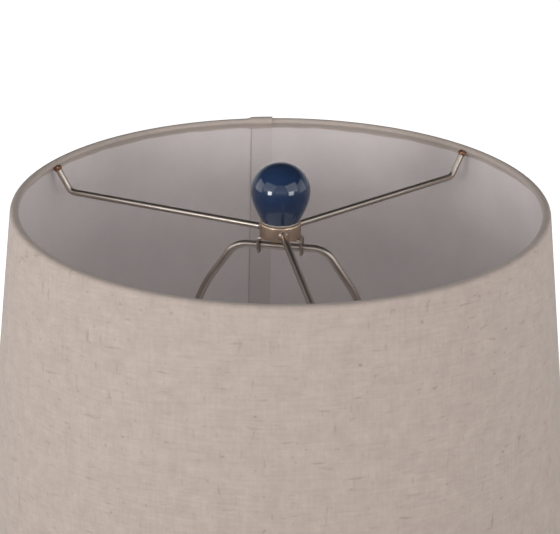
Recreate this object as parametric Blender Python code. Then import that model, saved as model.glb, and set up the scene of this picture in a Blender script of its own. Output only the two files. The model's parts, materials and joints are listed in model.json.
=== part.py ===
"""Table lamp: a blue glazed ceramic body on a nickel foot, a detachable harp, and a
tapered linen shade that hangs on a three-arm spider under a matching ceramic finial.

Units are metres, +Z is up and the origin is on the table under the middle of the foot.
The harp's loop lies in the XZ plane, the switch points to the front (-Y) and the lead
leaves the foot at the back (+Y). Neighbouring pieces keep a gap of GAP to each other.
"""

import math

import bmesh
import bpy
from mathutils import Matrix, Vector

# Driving dimensions -----------------------------------------------------------------
GAP = 0.0003
INCH = 0.0254

SHADE_TOP_RADIUS = 6.5 * INCH
SHADE_BOTTOM_RADIUS = 8.0 * INCH
SHADE_SLANT = 11.0 * INCH
SHEET = 0.0005  # linen, and the stiff lining behind it
RING_WIRE = 0.0015  # radius of the shade's two wire rings
TRIM_WIDTH = 0.0065  # how far the folded edge comes down inside
LAP_WIDTH = 0.0154  # where the shade's sheet overlaps itself
LAP_ANGLE = math.radians(105)

ARM_WIRE = 0.0021
ARM_ANGLES = [math.radians(48.3 + 120 * k) for k in range(3)]
SPIDER_DROP = 0.0270  # from the shade's top edge down to the underside of the hub
HUB_RADIUS = 0.0130
HUB_HEIGHT = 0.0098

HARP_WIRE = 0.0024
HARP_HEIGHT = 9.0 * INCH  # from the lower saddle's plate to the swivel's plate
HARP_HALF_WIDTH = 0.067
LEG_X = 0.025
STRIP = 0.0015  # sheet metal of the two saddles
STUD_RADIUS = 0.0031  # of the screw that the finial goes on

ROD_RADIUS = 0.0050
ROD_HOLE = ROD_RADIUS + GAP
FOOT_RADIUS = 0.072
LEAD_SLEEVE = 0.0038  # radius of the bushing where it goes through the foot
BODY_HEIGHT = 0.345
BODY_RADIUS = 0.097
BODY_WALL = 0.006
BULB_RADIUS = 0.030

# Levels, from the table up ----------------------------------------------------------
FELT_TOP = 0.0020
FOOT_BOTTOM = FELT_TOP + GAP
FOOT_STEP = 0.0125  # top of the foot's lower step
FOOT_TOP = 0.0208
LEAD_Z = 0.0072  # axis of the lead's way out
CORK_TOP = FOOT_TOP + GAP + 0.0020
BODY_BOTTOM = CORK_TOP + GAP
BODY_TOP = BODY_BOTTOM + BODY_HEIGHT
CAP_BOTTOM = BODY_TOP + 0.0021
CAP_TOP = CAP_BOTTOM + 0.0062
NECK_TOP = CAP_TOP + 0.0180
CHECK_TOP = NECK_TOP + GAP + 0.0032
SADDLE_Z = CHECK_TOP + GAP  # underside of the lower saddle's plate
NUT_TOP = SADDLE_Z + STRIP + GAP + 0.0035
LEG_FOOT = SADDLE_Z + 0.0205  # where a leg of the harp stands on the saddle's tongue
SOCKET_Z = NUT_TOP + GAP  # bottom of the socket's cap
SWIVEL_TOP = SADDLE_Z + STRIP + HARP_HEIGHT
WIRE_Z = SWIVEL_TOP - 0.0071  # axis of the harp's straight top
HUB_BOTTOM = SWIVEL_TOP + GAP
HUB_TOP = HUB_BOTTOM + HUB_HEIGHT
SHADE_TOP = HUB_BOTTOM + SPIDER_DROP
SHADE_HEIGHT = math.sqrt(SHADE_SLANT**2 - (SHADE_BOTTOM_RADIUS - SHADE_TOP_RADIUS) ** 2)
SHADE_BOTTOM = SHADE_TOP - SHADE_HEIGHT
ARM_Z = SHADE_TOP - 0.0230  # where an arm goes through the hub's wall
FINIAL_BOTTOM = HUB_TOP + GAP
KNOB_Z = SOCKET_Z + 0.0240  # axis of the switch

# How finely round pieces are divided ------------------------------------------------
SHADE_STEPS = 48
BODY_STEPS = 32
ROUND_STEPS = 24
SMALL_STEPS = 16


# Modelling helpers ------------------------------------------------------------------
def clear_scene():
    for obj in list(bpy.data.objects):
        bpy.data.objects.remove(obj, do_unlink=True)


def finish(name, colour, roughness, metallic=0.0):
    """A Principled material."""
    material = bpy.data.materials.new(name)
    material.use_nodes = True
    shader = material.node_tree.nodes["Principled BSDF"]
    shader.inputs["Base Color"].default_value = (*colour, 1.0)
    shader.inputs["Roughness"].default_value = roughness
    shader.inputs["Metallic"].default_value = metallic
    return material


def add_object(name, data, material):
    obj = bpy.data.objects.new(name, data)
    data.materials.append(material)
    bpy.context.scene.collection.objects.link(obj)
    return obj


def add_mesh(name, bm, material):
    """The bmesh as an object, with its faces out and only its real edges sharp."""
    bmesh.ops.recalc_face_normals(bm, faces=bm.faces)
    mesh = bpy.data.meshes.new(name)
    bm.to_mesh(mesh)
    bm.free()
    mesh.shade_smooth()
    mesh.set_sharp_from_angle(angle=math.radians(35))
    return add_object(name, mesh, material)


def turned(name, outline, material, steps=ROUND_STEPS):
    """A solid turned about Z. The outline's (radius, height) points are a closed loop, or
    a line that starts and ends on the axis."""
    bm = bmesh.new()
    verts = [bm.verts.new((radius, 0, height)) for radius, height in outline]
    pairs = list(zip(verts, verts[1:]))
    if outline[0][0] > 0:
        pairs.append((verts[-1], verts[0]))
    edges = [bm.edges.new(pair) for pair in pairs]
    bmesh.ops.spin(
        bm,
        geom=verts + edges,
        cent=(0, 0, 0),
        axis=(0, 0, 1),
        angle=2 * math.pi,
        steps=steps,
        use_merge=True,
    )
    bmesh.ops.remove_doubles(bm, verts=bm.verts, dist=1e-7)
    return add_mesh(name, bm, material)


def wire(name, points, radius, material, cyclic=False, sides=2):
    """Round wire along points. Sides is Blender's bevel resolution: 0 gives 4 sides, 2 gives 8."""
    curve = bpy.data.curves.new(name, "CURVE")
    curve.dimensions = "3D"
    curve.bevel_depth = radius
    curve.bevel_resolution = sides
    curve.use_fill_caps = not cyclic
    spline = curve.splines.new("POLY")
    spline.points.add(len(points) - 1)
    for spot, point in zip(spline.points, points):
        spot.co = (*point, 1)
    spline.use_cyclic_u = cyclic
    return add_object(name, curve, material)


def strip(name, path, material, thickness=STRIP):
    """Bent sheet metal along (x, z, width) points in the XZ plane, width being along Y."""
    bm = bmesh.new()
    rings = []
    for k, (x, z, width) in enumerate(path):
        before = Vector(path[max(k - 1, 0)][:2])
        after = Vector(path[min(k + 1, len(path) - 1)][:2])
        here = Vector((x, z))
        into = (here - before).normalized() if k else (after - here).normalized()
        out = (after - here).normalized() if k < len(path) - 1 else into
        along = (into + out).normalized()
        reach = thickness / 2 / max(along.dot(into), 0.5)
        side = Vector((-along.y, along.x)) * reach
        corners = [(here + side, -1), (here + side, 1), (here - side, 1), (here - side, -1)]
        rings.append([bm.verts.new((p.x, s * width / 2, p.y)) for p, s in corners])
    for low, high in zip(rings, rings[1:]):
        for j in range(4):
            bm.faces.new((low[j], low[(j + 1) % 4], high[(j + 1) % 4], high[j]))
    bm.faces.new(rings[0])
    bm.faces.new(rings[-1])
    return add_mesh(name, bm, material)


def prism(name, corners, low, high, material):
    """A flat outline of (x, y) corners, extruded from one height to another."""
    bm = bmesh.new()
    base = bm.faces.new([bm.verts.new((x, y, low)) for x, y in corners])
    made = bmesh.ops.extrude_face_region(bm, geom=[base])
    raised = [v for v in made["geom"] if isinstance(v, bmesh.types.BMVert)]
    bmesh.ops.translate(bm, verts=raised, vec=(0, 0, high - low))
    return add_mesh(name, bm, material)


def drill(name, start, end, radius, steps=16):
    """A round cutter from start to end."""
    start, end = Vector(start), Vector(end)
    bm = bmesh.new()
    bmesh.ops.create_cone(
        bm,
        cap_ends=True,
        segments=steps,
        radius1=radius,
        radius2=radius,
        depth=(end - start).length,
    )
    turn = (end - start).to_track_quat("Z", "Y").to_matrix().to_4x4()
    bmesh.ops.transform(
        bm, verts=bm.verts, matrix=Matrix.Translation((start + end) / 2) @ turn
    )
    cutter = add_mesh(name, bm, bpy.data.materials["steel"])
    cutter.hide_render = True
    cutter.display_type = "WIRE"
    return cutter


def cut(obj, *cutters):
    for cutter in cutters:
        modifier = obj.modifiers.new(cutter.name, "BOOLEAN")
        modifier.operation = "DIFFERENCE"
        modifier.object = cutter


def pivot(name, location, members, parent=None):
    """An empty on a joint's axis, which carries the pieces that move about it."""
    empty = bpy.data.objects.new(name, None)
    empty.empty_display_size = 0.01
    bpy.context.scene.collection.objects.link(empty)
    empty.location = location
    if parent:
        empty.parent = parent
        empty.matrix_parent_inverse = Matrix.Translation(parent.location).inverted()
    for member in members:
        member.parent = empty
        member.matrix_parent_inverse = Matrix.Translation(location).inverted()
    return empty


def arc(centre, radius, begin, end, count):
    """Points of an arc in a plane, from one angle to another in degrees."""
    angles = [math.radians(begin + (end - begin) * k / count) for k in range(count + 1)]
    return [
        (centre[0] + radius * math.cos(a), centre[1] + radius * math.sin(a)) for a in angles
    ]


def bezier(a, b, c, d, count):
    """Points of a cubic curve from a to d, both included."""
    found = []
    for k in range(count + 1):
        t = k / count
        weights = ((1 - t) ** 3, 3 * t * (1 - t) ** 2, 3 * t * t * (1 - t), t**3)
        found.append(
            tuple(sum(w * p[i] for w, p in zip(weights, (a, b, c, d))) for i in range(2))
        )
    return found


def steps_of(angle, count):
    """Angles from 0 to angle in equal steps, both included."""
    return [angle * k / count for k in range(count + 1)]


def tube(inner, outer, low, high):
    """The outline of a plain ring or tube."""
    return [(outer, low), (outer, high), (inner, high), (inner, low)]


def hexagon(flats):
    return [
        (
            flats / math.sqrt(3) * math.cos(math.pi / 3 * k),
            flats / math.sqrt(3) * math.sin(math.pi / 3 * k),
        )
        for k in range(6)
    ]


# Foot and body ----------------------------------------------------------------------
def foot(m):
    felt = FOOT_RADIUS - 0.004
    turned("felt_pad", [(0, 0), (felt, 0), (felt, FELT_TOP), (0, FELT_TOP)], m["felt"])

    wall = 0.0015
    edge = 0.0015  # rounding of the lower step
    crown = 0.0025  # rounding of the top
    top_radius = 0.0600
    outer = [
        (FOOT_RADIUS, FOOT_BOTTOM),
        *arc((FOOT_RADIUS - edge, FOOT_STEP - edge), edge, 0, 90, 2),
        (top_radius + 0.0030, FOOT_STEP),
        *arc((top_radius - crown, FOOT_TOP - crown), crown, 0, 90, 2),
    ]
    inner = [
        (ROD_HOLE, FOOT_TOP),
        (ROD_HOLE, FOOT_TOP - wall),
        (top_radius - wall, FOOT_TOP - wall),
        (top_radius - wall, FOOT_STEP - wall),
        (FOOT_RADIUS - wall, FOOT_STEP - wall),
        (FOOT_RADIUS - wall, FOOT_BOTTOM),
    ]
    shell = turned("foot_shell", outer + inner, m["nickel"], steps=BODY_STEPS)
    out = (0, FOOT_RADIUS - 0.006, LEAD_Z), (0, FOOT_RADIUS + 0.004, LEAD_Z)
    cut(shell, drill("lead_hole", *out, LEAD_SLEEVE + GAP))

    pocket = 0.0165  # ceiling of the pocket for the rod's nut
    weight_top = FOOT_TOP - wall - GAP
    weight_radius, pocket_radius = 0.0560, 0.0150
    weight = turned(
        "base_weight",
        [
            (weight_radius, FELT_TOP + GAP),
            (weight_radius, weight_top),
            (ROD_HOLE, weight_top),
            (ROD_HOLE, pocket),
            (pocket_radius, pocket),
            (pocket_radius, FELT_TOP + GAP),
        ],
        m["iron"],
    )
    way = (0, pocket_radius - 0.004, LEAD_Z), (0, weight_radius + 0.004, LEAD_Z)
    cut(weight, drill("lead_way", *way, 0.0030))
    lead_grommet(m)

    washer_radius, washer_bottom = 0.0120, pocket - GAP - 0.0015
    washer = tube(ROD_HOLE, washer_radius, washer_bottom, pocket - GAP)
    turned("rod_washer", washer, m["steel"])
    nut_flats, nut_height = 0.0160, 0.0045
    nut_top = washer_bottom - GAP
    nut("rod_nut", nut_flats, nut_top - nut_height, nut_top, m)
    cork_inner, cork_outer = 0.0380, 0.0480
    turned("cork_ring", tube(cork_inner, cork_outer, FOOT_TOP + GAP, CORK_TOP), m["cork"])


def lead_grommet(m):
    """The bushing that the lead would come out of, in the back of the foot."""
    bore, sleeve, flange = 0.0024, LEAD_SLEEVE, 0.0048
    face = FOOT_RADIUS + GAP
    inside, outside = FOOT_RADIUS - 0.0050, face + 0.0022
    outline = [
        (bore, inside),
        (bore, outside),
        (flange - 0.0008, outside),
        (flange, face + 0.0010),
        (flange, face + 0.0002),
        (sleeve, face),
        (sleeve, inside),
    ]
    bushing = turned("lead_grommet", outline, m["black"], steps=16)
    bushing.rotation_euler = (-math.pi / 2, 0, 0)
    bushing.location = (0, 0, LEAD_Z)


def nut(name, flats, low, high, m):
    made = prism(name, hexagon(flats), low, high, m["steel"])
    through = (0, 0, low - 0.002), (0, 0, high + 0.002)
    cut(made, drill(name + "_bore", *through, ROD_HOLE, SMALL_STEPS))


def body(m):
    """The ceramic vase: a narrow foot, a full shoulder and a short neck, cast hollow."""
    low, wide = BODY_BOTTOM, BODY_RADIUS
    waist = low + 0.68 * BODY_HEIGHT
    neck, neck_low = 0.026, (0.034, low + 0.3285)
    side = bezier((0.053, low + 0.002), (0.058, low + 0.075), (wide, low + 0.135), (wide, waist), 7)
    shoulder = bezier((wide, waist), (wide, low + 0.293), (0.062, low + 0.319), neck_low, 6)
    throat = bezier(neck_low, (0.029, low + 0.330), (neck, low + 0.333), (neck, BODY_TOP - 0.001), 2)
    outer = [(0.050, low), *side, *shoulder[1:], *throat[1:], (neck - 0.001, BODY_TOP)]

    hollow, mouth = wide - BODY_WALL, 0.016
    floor = low + 0.007
    vault = bezier((0.030, low + 0.3215), (0.060, low + 0.311), (hollow, low + 0.285), (hollow, waist), 3)
    flank = bezier((hollow, waist), (hollow, low + 0.140), (0.052, low + 0.080), (0.047, floor), 4)
    drain = 0.020
    inner = [
        (mouth, BODY_TOP),
        (mouth, low + 0.326),
        *vault,
        *flank[1:],
        (drain, floor),
        (drain, low),
    ]
    turned("ceramic_body", outer + inner, m["glaze"], steps=BODY_STEPS)

    gasket = tube(ROD_HOLE, 0.0200, BODY_TOP + GAP, CAP_BOTTOM + 0.0012 - GAP)
    turned("neck_gasket", gasket, m["black"], SMALL_STEPS)
    bush = tube(ROD_HOLE, mouth - GAP, BODY_TOP - 0.0120, BODY_TOP)
    turned("centring_bush", bush, m["black"], SMALL_STEPS)


def neck(m):
    low, high = CAP_BOTTOM, CAP_TOP
    rim = 0.0304
    crown = bezier((rim - 0.0010, low + 0.0022), (0.0240, high - 0.001), (0.0180, high), (0.0130, high), 4)
    dome = [
        (ROD_HOLE, low + 0.0012),
        (0.0200, low + 0.0012),
        (0.0270, low),
        (rim - 0.0004, low),
        (rim, low + 0.0012),
        *crown,
        (ROD_HOLE, high),
    ]
    turned("vase_cap", dome, m["nickel"])

    low, high = CAP_TOP + GAP, NECK_TOP
    waist = 0.0070
    hollow = bezier(
        (0.0115, low + 0.0032),
        (waist, low + 0.0060),
        (waist, high - 0.0070),
        (0.0105, high - 0.0030),
        6,
    )
    spacer = [
        (ROD_HOLE, low),
        (0.0120, low),
        (0.0125, low + 0.0020),
        *hollow,
        (0.0112, high - 0.0016),
        (0.0105, high),
        (ROD_HOLE, high),
    ]
    turned("neck_spacer", spacer, m["nickel"], SMALL_STEPS)
    ring = tube(ROD_HOLE, 0.0088, NECK_TOP + GAP, CHECK_TOP)
    turned("check_ring", ring, m["nickel"], SMALL_STEPS)
    rod = tube(0.0036, ROD_RADIUS, LEAD_Z + 0.0013, SOCKET_Z + 0.0075)
    turned("threaded_rod", rod, m["steel"], SMALL_STEPS)


# Harp -------------------------------------------------------------------------------
def lower_saddle(m):
    """The forked plate under the socket that holds the harp's two legs."""
    plate = SADDLE_Z + STRIP / 2
    wide, tongue = 0.0120, 0.0036
    bend = 0.0050
    right = [
        *[(x, z, wide) for x, z in arc((LEG_X - bend, plate + bend), bend, -90, 0, 4)],
        (LEG_X, plate + 0.0110, wide),
        (LEG_X, plate + 0.0125, tongue),
        (LEG_X, LEG_FOOT - GAP, tongue),
    ]
    left = [(-x, z, width) for x, z, width in reversed(right)]
    saddle = strip("harp_saddle", left + right, m["nickel"])
    through = (0, 0, SADDLE_Z - 0.003), (0, 0, SADDLE_Z + 0.005)
    cut(saddle, drill("saddle_hole", *through, ROD_HOLE, SMALL_STEPS))
    nut("saddle_nut", 0.0150, SADDLE_Z + STRIP + GAP, NUT_TOP, m)


def harp_half():
    """(x, z) points of the harp's right half, from its foot to the middle of its top."""
    wide = HARP_HALF_WIDTH
    belly = WIRE_Z - 0.112
    bend = 0.0145  # radius of the corner
    lean = math.radians(55.5)  # of the side where it meets the corner
    corner = 0.0287  # where the top and the side would cross
    tangent = bend * math.tan(lean / 2)
    down = Vector((math.cos(lean), -math.sin(lean)))
    shoulder = Vector((corner, WIRE_Z)) + down * tangent
    neck = shoulder + down * 0.021
    leg = (LEG_X, LEG_FOOT + 0.02), (LEG_X, LEG_FOOT + 0.05)
    spread = bezier(*leg, (wide, belly - 0.04), (wide, belly), 9)
    side = bezier((wide, belly), (wide, belly + 0.032), tuple(neck + down * 0.018), tuple(neck), 7)
    elbow = arc((corner - tangent, WIRE_Z - bend), bend, 90 - math.degrees(lean), 90, 5)
    return [(LEG_X, LEG_FOOT), *spread, *side[1:], *elbow]


def harp(m):
    half = harp_half()
    loop = half + [(-x, z) for x, z in reversed(half)]
    bow = wire("harp_bow", [(x, 0, z) for x, z in loop], HARP_WIRE, m["nickel"])
    ferrules = []
    for side, sign in (("left", -1), ("right", 1)):
        low, high = LEG_FOOT - 0.0068, LEG_FOOT + 0.0075
        outline = tube(HARP_WIRE + 0.0004, HARP_WIRE + 0.0013, low, high)
        sleeve = turned("ferrule_" + side, outline, m["nickel"], SMALL_STEPS)
        sleeve.location.x = sign * LEG_X
        ferrules.append(sleeve)
    return bow, ferrules


def swivel(m):
    """The saddle on top of the harp. Its ears turn on the wire, and the stud turns in it."""
    ear_x = 0.0136
    ear_bottom = WIRE_Z - 0.0050
    wide = 0.0105
    bend = 0.0022
    plate = SWIVEL_TOP - STRIP / 2
    right = [
        *[(x, z, wide) for x, z in arc((ear_x - bend, plate - bend), bend, 90, 0, 3)],
        (ear_x, ear_bottom + 0.0020, wide),
        (ear_x, ear_bottom, 0.0064),
    ]
    left = [(-x, z, width) for x, z, width in reversed(right)]
    saddle = strip("swivel_saddle", left + right, m["nickel"])
    across = (-0.020, 0, WIRE_Z), (0.020, 0, WIRE_Z)
    stud_way = (0, 0, plate - 0.003), (0, 0, plate + 0.003)
    cut(
        saddle,
        drill("ear_holes", *across, HARP_WIRE + GAP, SMALL_STEPS),
        drill("stud_hole", *stud_way, STUD_RADIUS + GAP, SMALL_STEPS),
    )
    head, head_radius, head_height = plate - STRIP / 2 - GAP, 0.0046, 0.0018
    tip = SWIVEL_TOP + 0.0158
    outline = [
        (0, head - head_height),
        (head_radius - 0.0010, head - head_height),
        (head_radius, head - 0.0008),
        (head_radius, head),
        (STUD_RADIUS, head),
        (STUD_RADIUS, tip - 0.0008),
        (STUD_RADIUS - 0.0006, tip),
        (0, tip),
    ]
    stud = turned("finial_stud", outline, m["brass"], SMALL_STEPS)
    return saddle, stud


# Shade ------------------------------------------------------------------------------
def wall_radius(height):
    """Radius of the linen's outer face at a height."""
    down = (SHADE_TOP - height) / SHADE_HEIGHT
    return SHADE_TOP_RADIUS + (SHADE_BOTTOM_RADIUS - SHADE_TOP_RADIUS) * down


def sheet_outline(depth, thickness, low, high):
    """A layer of the wall: depth is how far its outer face lies inside the linen's."""
    return [
        (wall_radius(low) - depth, low),
        (wall_radius(high) - depth, high),
        (wall_radius(high) - depth - thickness, high),
        (wall_radius(low) - depth - thickness, low),
    ]


def ring_place(edge, inward):
    """(radius, height) of a wire ring's centre. Inward is -1 at the top and 1 below."""
    height = edge + inward * (SHEET + GAP + RING_WIRE)
    depth = 2 * (SHEET + GAP) + RING_WIRE
    return wall_radius(height) - depth, height


def on_facet(angle):
    """How much nearer the axis a facet's face is at an angle than at its edges."""
    step = 2 * math.pi / SHADE_STEPS
    return math.cos(step / 2) / math.cos(angle % step - step / 2)


def lapped(name, depth, low, high, material):
    """A layer of the wall as a full turn, one end of which laps LAP_WIDTH over the other."""
    sweep = LAP_WIDTH / SHADE_TOP_RADIUS
    ramp = 2 * SHEET / SHADE_TOP_RADIUS
    start, end = LAP_ANGLE - sweep / 2, LAP_ANGLE + sweep / 2
    angles = [2 * math.pi * k / SHADE_STEPS for k in range(SHADE_STEPS)]
    angles = sorted(angles + [start, start + ramp, end - ramp, end])
    bm = bmesh.new()
    rings = []
    for angle in angles:
        extra = SHEET if start + ramp / 2 < angle < end - ramp / 2 else 0.0
        section = sheet_outline(depth, SHEET, low, high)
        section[2:] = [(radius - extra, height) for radius, height in section[2:]]
        across, along = (on_facet(angle) * f(angle) for f in (math.cos, math.sin))
        rings.append([bm.verts.new((r * across, r * along, z)) for r, z in section])
    for this, after in zip(rings, rings[1:] + rings[:1]):
        for j in range(4):
            bm.faces.new((this[j], this[(j + 1) % 4], after[(j + 1) % 4], after[j]))
    return add_mesh(name, bm, material)


def shade_walls(m):
    low, high = SHADE_BOTTOM + SHEET + GAP, SHADE_TOP - SHEET - GAP
    linen = turned("linen_cover", sheet_outline(0, SHEET, low, high), m["linen"], SHADE_STEPS)
    clear = TRIM_WIDTH + GAP
    depth = SHEET + GAP
    lining = lapped("shade_lining", depth, SHADE_BOTTOM + clear, SHADE_TOP - clear, m["lining"])
    return [linen, lining]


def shade_rings(m):
    made = []
    for name, edge, inward in (("top_ring", SHADE_TOP, -1), ("bottom_ring", SHADE_BOTTOM, 1)):
        radius, height = ring_place(edge, inward)
        turns = [2 * math.pi * k / SHADE_STEPS for k in range(SHADE_STEPS)]
        points = [(radius * math.cos(a), radius * math.sin(a), height) for a in turns]
        made.append(wire(name, points, RING_WIRE, m["steel"], cyclic=True, sides=0))
    return made


def shade_trims(m):
    """The linen folded over each ring: a cap across the edge and a band inside it."""
    made = []
    for name, edge, inward in (("top_trim", SHADE_TOP, -1), ("bottom_trim", SHADE_BOTTOM, 1)):
        ring_radius, _ = ring_place(edge, inward)
        band = ring_radius - RING_WIRE - GAP
        outer = wall_radius(edge)
        under = edge + inward * SHEET
        hem = edge + inward * TRIM_WIDTH
        lean = wall_radius(hem) - wall_radius(edge)
        outline = [
            (outer, edge),
            (outer, under),
            (band, under),
            (band + lean, hem),
            (band + lean - SHEET, hem),
            (band - SHEET, edge),
        ]
        made.append(turned(name, outline, m["linen"], SHADE_STEPS))
    return made


def spider(m):
    wall, bore, rounding = 0.0015, STUD_RADIUS + 0.0008, 0.0010
    cup = [
        (HUB_RADIUS, HUB_BOTTOM),
        (HUB_RADIUS, HUB_TOP - rounding),
        (HUB_RADIUS - rounding, HUB_TOP),
        (bore, HUB_TOP),
        (bore, HUB_TOP - wall),
        (HUB_RADIUS - wall, HUB_TOP - wall),
        (HUB_RADIUS - wall, HUB_BOTTOM),
    ]
    hub = turned("spider_hub", cup, m["nickel"])
    ring_radius, ring_z = ring_place(SHADE_TOP, -1)
    bend_r, bend_z = 0.1500, SHADE_TOP - 0.0196
    end_r, end_z = ring_radius - RING_WIRE - GAP - 0.0006, ring_z - 0.0006
    inner_r = HUB_RADIUS - 0.0035
    start, corner, end = Vector((inner_r, ARM_Z)), Vector((bend_r, bend_z)), Vector((end_r, end_z))
    into, out = (corner - start).normalized(), (end - corner).normalized()
    turn = 0.0060  # how far before and after its corner the wire starts to bend
    rounded = bezier(corner - into * turn, corner, corner, corner + out * turn, 6)
    profile = [start, *rounded, end]
    arms = []
    for k, angle in enumerate(ARM_ANGLES, 1):
        way = Vector((math.cos(angle), math.sin(angle), 0))
        points = [(way.x * r, way.y * r, z) for r, z in profile]
        arms.append(wire(f"spider_arm_{k}", points, ARM_WIRE, m["nickel"]))
        hole = way * (HUB_RADIUS - 0.0030), way * (HUB_RADIUS + 0.0040)
        slope = (bend_z - ARM_Z) / (bend_r - inner_r)
        ends = [(p.x, p.y, ARM_Z + (p.length - inner_r) * slope) for p in hole]
        cut(hub, drill(f"arm_hole_{k}", *ends, ARM_WIRE + GAP))
        tip = corner + out * 0.010, end + out * 0.0006
        ends = [(way.x * r, way.y * r, z) for r, z in tip]
        slot = drill(f"trim_slot_{k}", *ends, ARM_WIRE + GAP)
        cut(bpy.data.objects["top_trim"], slot)
    return [hub, *arms]


def finial(m):
    """A blunt drop standing on its narrow end, with a threaded bush let into its foot."""
    low = FINIAL_BOTTOM
    wide, middle = 0.0186, SHADE_TOP + 0.0030
    crown = 0.0175  # height of the top over the widest place
    bore, bore_top = 0.0058, low + 0.0180
    foot_r = 0.0121
    controls = (foot_r, low + 0.0004), (0.0149, middle - 0.0135), (wide, middle - 0.0078)
    flank = bezier(*controls, (wide, middle), 5)
    top = [(wide * math.cos(a), middle + crown * math.sin(a)) for a in steps_of(math.pi / 2, 6)]
    outline = [
        (0, bore_top),
        (bore, bore_top),
        (bore, low),
        (foot_r - 0.0006, low),
        *flank[:-1],
        *top[:-1],
        (0, middle + crown),
    ]
    knob = turned("finial_knob", outline, m["glaze"])
    inset = tube(STUD_RADIUS + GAP, bore - GAP, low, low + 0.0140)
    bush = turned("finial_bush", inset, m["brass"], SMALL_STEPS)
    return [knob, bush]


# Socket, switch and bulb ------------------------------------------------------------
def socket(m):
    low = SOCKET_Z
    hub_r, shell_r, wall = 0.0080, 0.0170, 0.0008
    cap_r = shell_r + GAP + wall
    shoulder = low + 0.0122
    rim = low + 0.0180
    throat = (hub_r, low + 0.0050)
    outside = bezier(throat, (0.0120, low + 0.0062), (cap_r, low + 0.0075), (cap_r, shoulder), 5)
    floor = (hub_r, low + 0.0062)
    inside = bezier((cap_r - wall, shoulder), (0.0165, low + 0.0086), (0.011, low + 0.0066), floor, 4)
    cap = [
        (ROD_HOLE, low),
        (hub_r, low),
        *outside,
        (cap_r, rim),
        (cap_r - wall, rim),
        *inside,
        (ROD_HOLE, floor[1]),
    ]
    turned("socket_cap", cap, m["nickel"])
    shell_low, shell_high = low + 0.0125, low + 0.0600
    shell = turned(
        "socket_shell",
        [
            (shell_r, shell_low),
            (shell_r, shell_high - 0.0060),
            (shell_r + 0.0008, shell_high - 0.0045),
            (shell_r + 0.0008, shell_high),
            (shell_r + 0.0008 - wall, shell_high),
            (shell_r + 0.0008 - wall, shell_high - 0.0045),
            (shell_r - wall, shell_high - 0.0060),
            (shell_r - wall, shell_low),
        ],
        m["nickel"],
    )
    liner_r = shell_r - wall - GAP
    sleeve = tube(liner_r - 0.0006, liner_r, low + 0.0130, low + 0.0580)
    liner = turned("socket_liner", sleeve, m["card"])
    body_r = liner_r - 0.0006 - GAP
    seat = low + 0.0380  # where the screw shell stands on the moulding
    core = turned(
        "socket_core",
        [
            (0, low + 0.0140),
            (0.0120, low + 0.0140),
            (0.0120, low + 0.0165),
            (body_r, low + 0.0180),
            (body_r, seat),
            (0, seat),
        ],
        m["phenolic"],
    )
    bore = 0.0022 + 2 * GAP
    way = drill("switch_way", (0, -0.0240, KNOB_Z), (0, -0.0040, KNOB_Z), bore)
    for piece in (shell, liner, core):
        cut(piece, way)
    terminals(core, low, m)
    radius, sheet, opening = 0.0140, 0.0006, 0.0070
    bottom, top = seat + GAP, low + 0.0575
    turned(
        "screw_shell",
        [
            (radius, bottom),
            (radius, top),
            (radius - sheet, top),
            (radius - sheet, bottom + 0.0008),
            (opening, bottom + 0.0008),
            (opening, bottom),
        ],
        m["brass"],
    )
    contact = [(-0.0050, seat + GAP + 0.0004), (0.0, seat + 0.0022), (0.0040, seat + 0.0030)]
    strip("centre_contact", [(x, z, 0.0040) for x, z in contact], m["brass"], 0.0005)
    return seat


def terminals(core, low, m):
    """The two screws that hold the lead's conductors under the socket's moulding."""
    head, shank, steps, apart = 0.0030, 0.0015, 12, 0.0060
    bottom, shoulder, end = low + 0.0118, low + 0.0137, low + 0.0190
    outline = [(0, bottom), (head, bottom), (head, shoulder), (shank, shoulder), (shank, end), (0, end)]
    for side, x in (("line", -apart), ("neutral", apart)):
        cut(core, drill(side + "_hole", (x, 0, bottom), (x, 0, end + 0.0010), shank + GAP, steps))
        turned(f"terminal_{side}", outline, m["brass"], steps).location.x = x


def switch(m):
    """The turning switch: a brass spindle and the ribbed knob that is pressed on it."""
    shaft, end = 0.0022, 0.0275
    spindle = turned("switch_spindle", [(0, 0.007), (shaft, 0.007), (shaft, end), (0, end)], m["brass"], 16)
    grip = bezier((0.0052, 0.0240), (0.0044, 0.0260), (0.0044, 0.0275), (0.0056, 0.0295), 4)
    near, far = 0.0220, 0.0342
    outline = [
        (0, end + GAP),
        (shaft + GAP, end + GAP),
        (shaft + GAP, near),
        (0.0045, near),
        (0.0052, near + 0.0012),
        *grip,
        (0.0060, far - 0.0022),
        (0.0052, far - 0.0004),
        (0, far),
    ]
    knob = turned("switch_knob", outline, m["black"], SMALL_STEPS)
    for piece in (spindle, knob):
        piece.rotation_euler = (math.pi / 2, 0, 0)
        piece.location = (0, 0, KNOB_Z)
    return [spindle, knob]


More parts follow.
